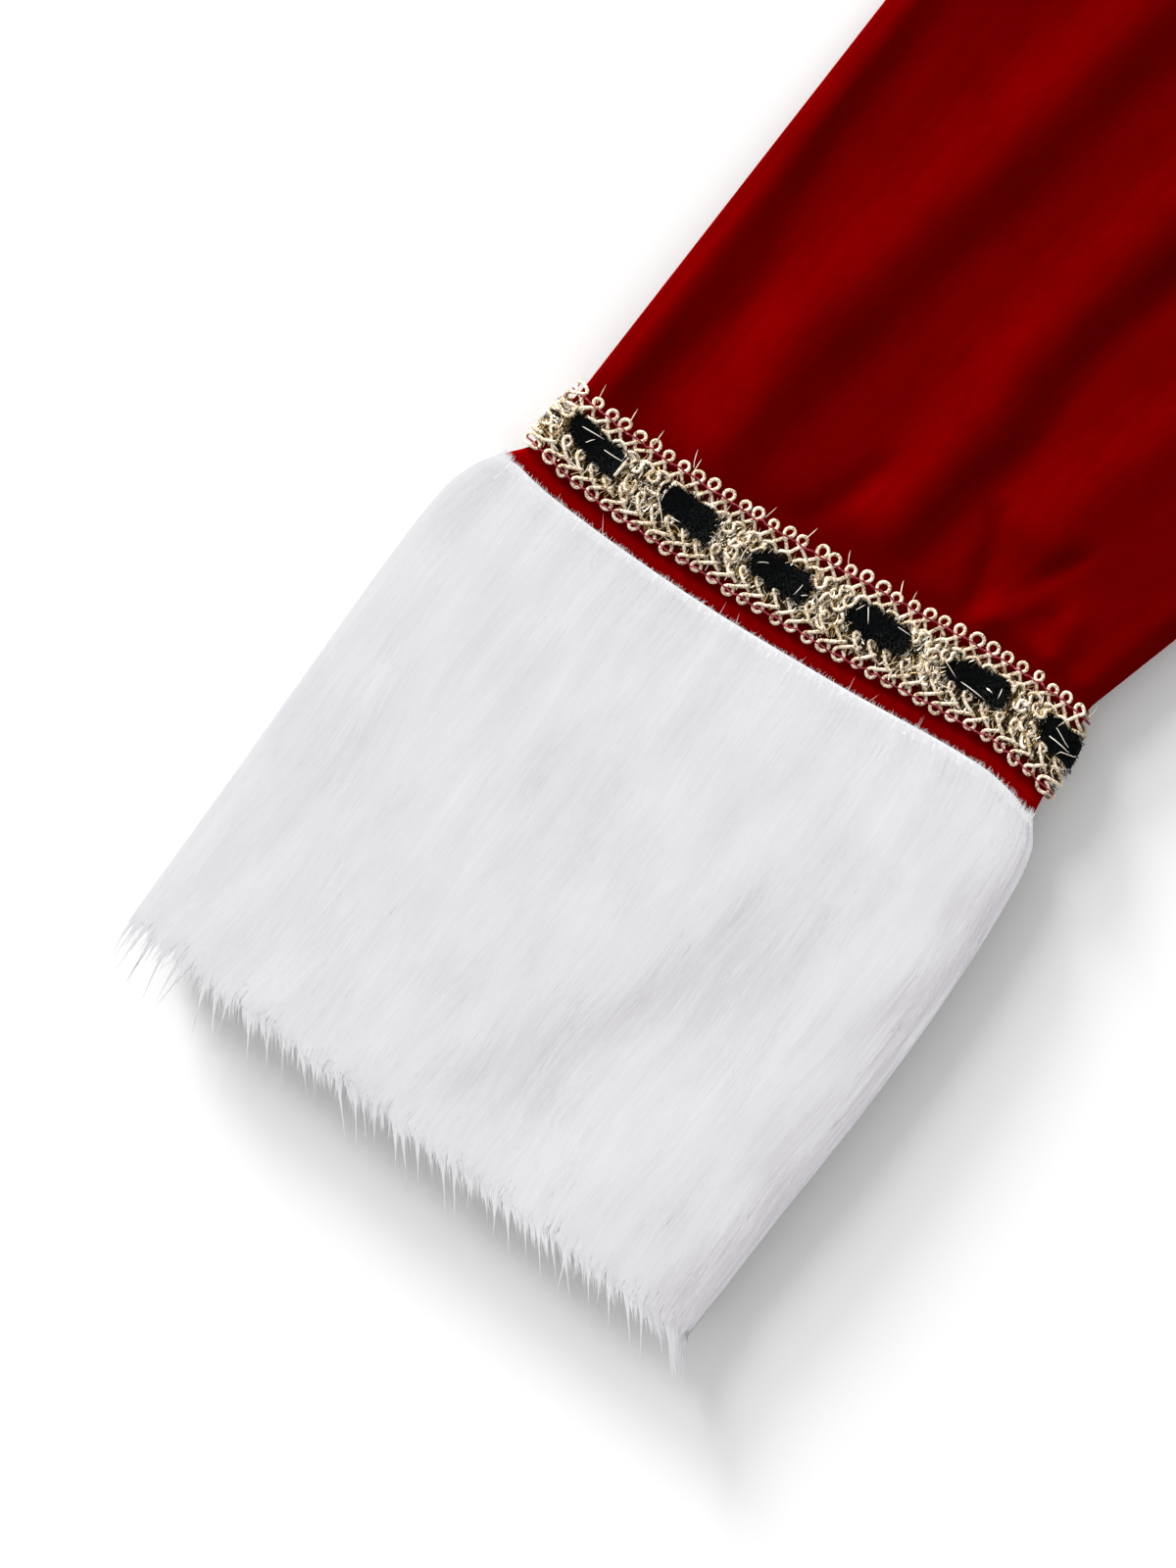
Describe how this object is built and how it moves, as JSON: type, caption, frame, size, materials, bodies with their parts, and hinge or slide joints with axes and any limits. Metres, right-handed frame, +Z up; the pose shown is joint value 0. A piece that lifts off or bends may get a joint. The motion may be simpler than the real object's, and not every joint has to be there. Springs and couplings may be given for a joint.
{
  "type": "christmas costume dress laid flat",
  "caption": "Women's A-line Christmas dress in red velvet, laid flat, with long sleeves, gold gimp and black ribbon braid above deep white fur cuffs.",
  "frame": {"origin": "on the surface that the dress lies on, under the middle of its length and width", "axes": "+X to the viewer's right, which is the wearer's left, +Y from the hem to the neck, +Z up from the surface through the dress"},
  "size_m": [1.2548, 0.9, 0.0166],
  "materials": {
    "red_velvet": "short-pile stretch velvet with a soft sheen",
    "white_fur": "long-pile faux fur combed towards the hem",
    "gold_gimp": "cream and gold gimp cord with metallic yarn",
    "black_ribbon": "matte velvet ribbon"
  },
  "bodies": {
    "root": {"back": "red_velvet", "front": "red_velvet", "sleeve_right": "red_velvet", "sleeve_left": "red_velvet", "cuff_fur_right": "white_fur", "cuff_fur_left": "white_fur", "ribbon_black_right": "black_ribbon", "ribbon_black_left": "black_ribbon", "braid_gold_front_right": "gold_gimp", "braid_gold_back_right": "gold_gimp", "braid_gold_front_left": "gold_gimp", "braid_gold_back_left": "gold_gimp"}
  },
  "joints": []
}
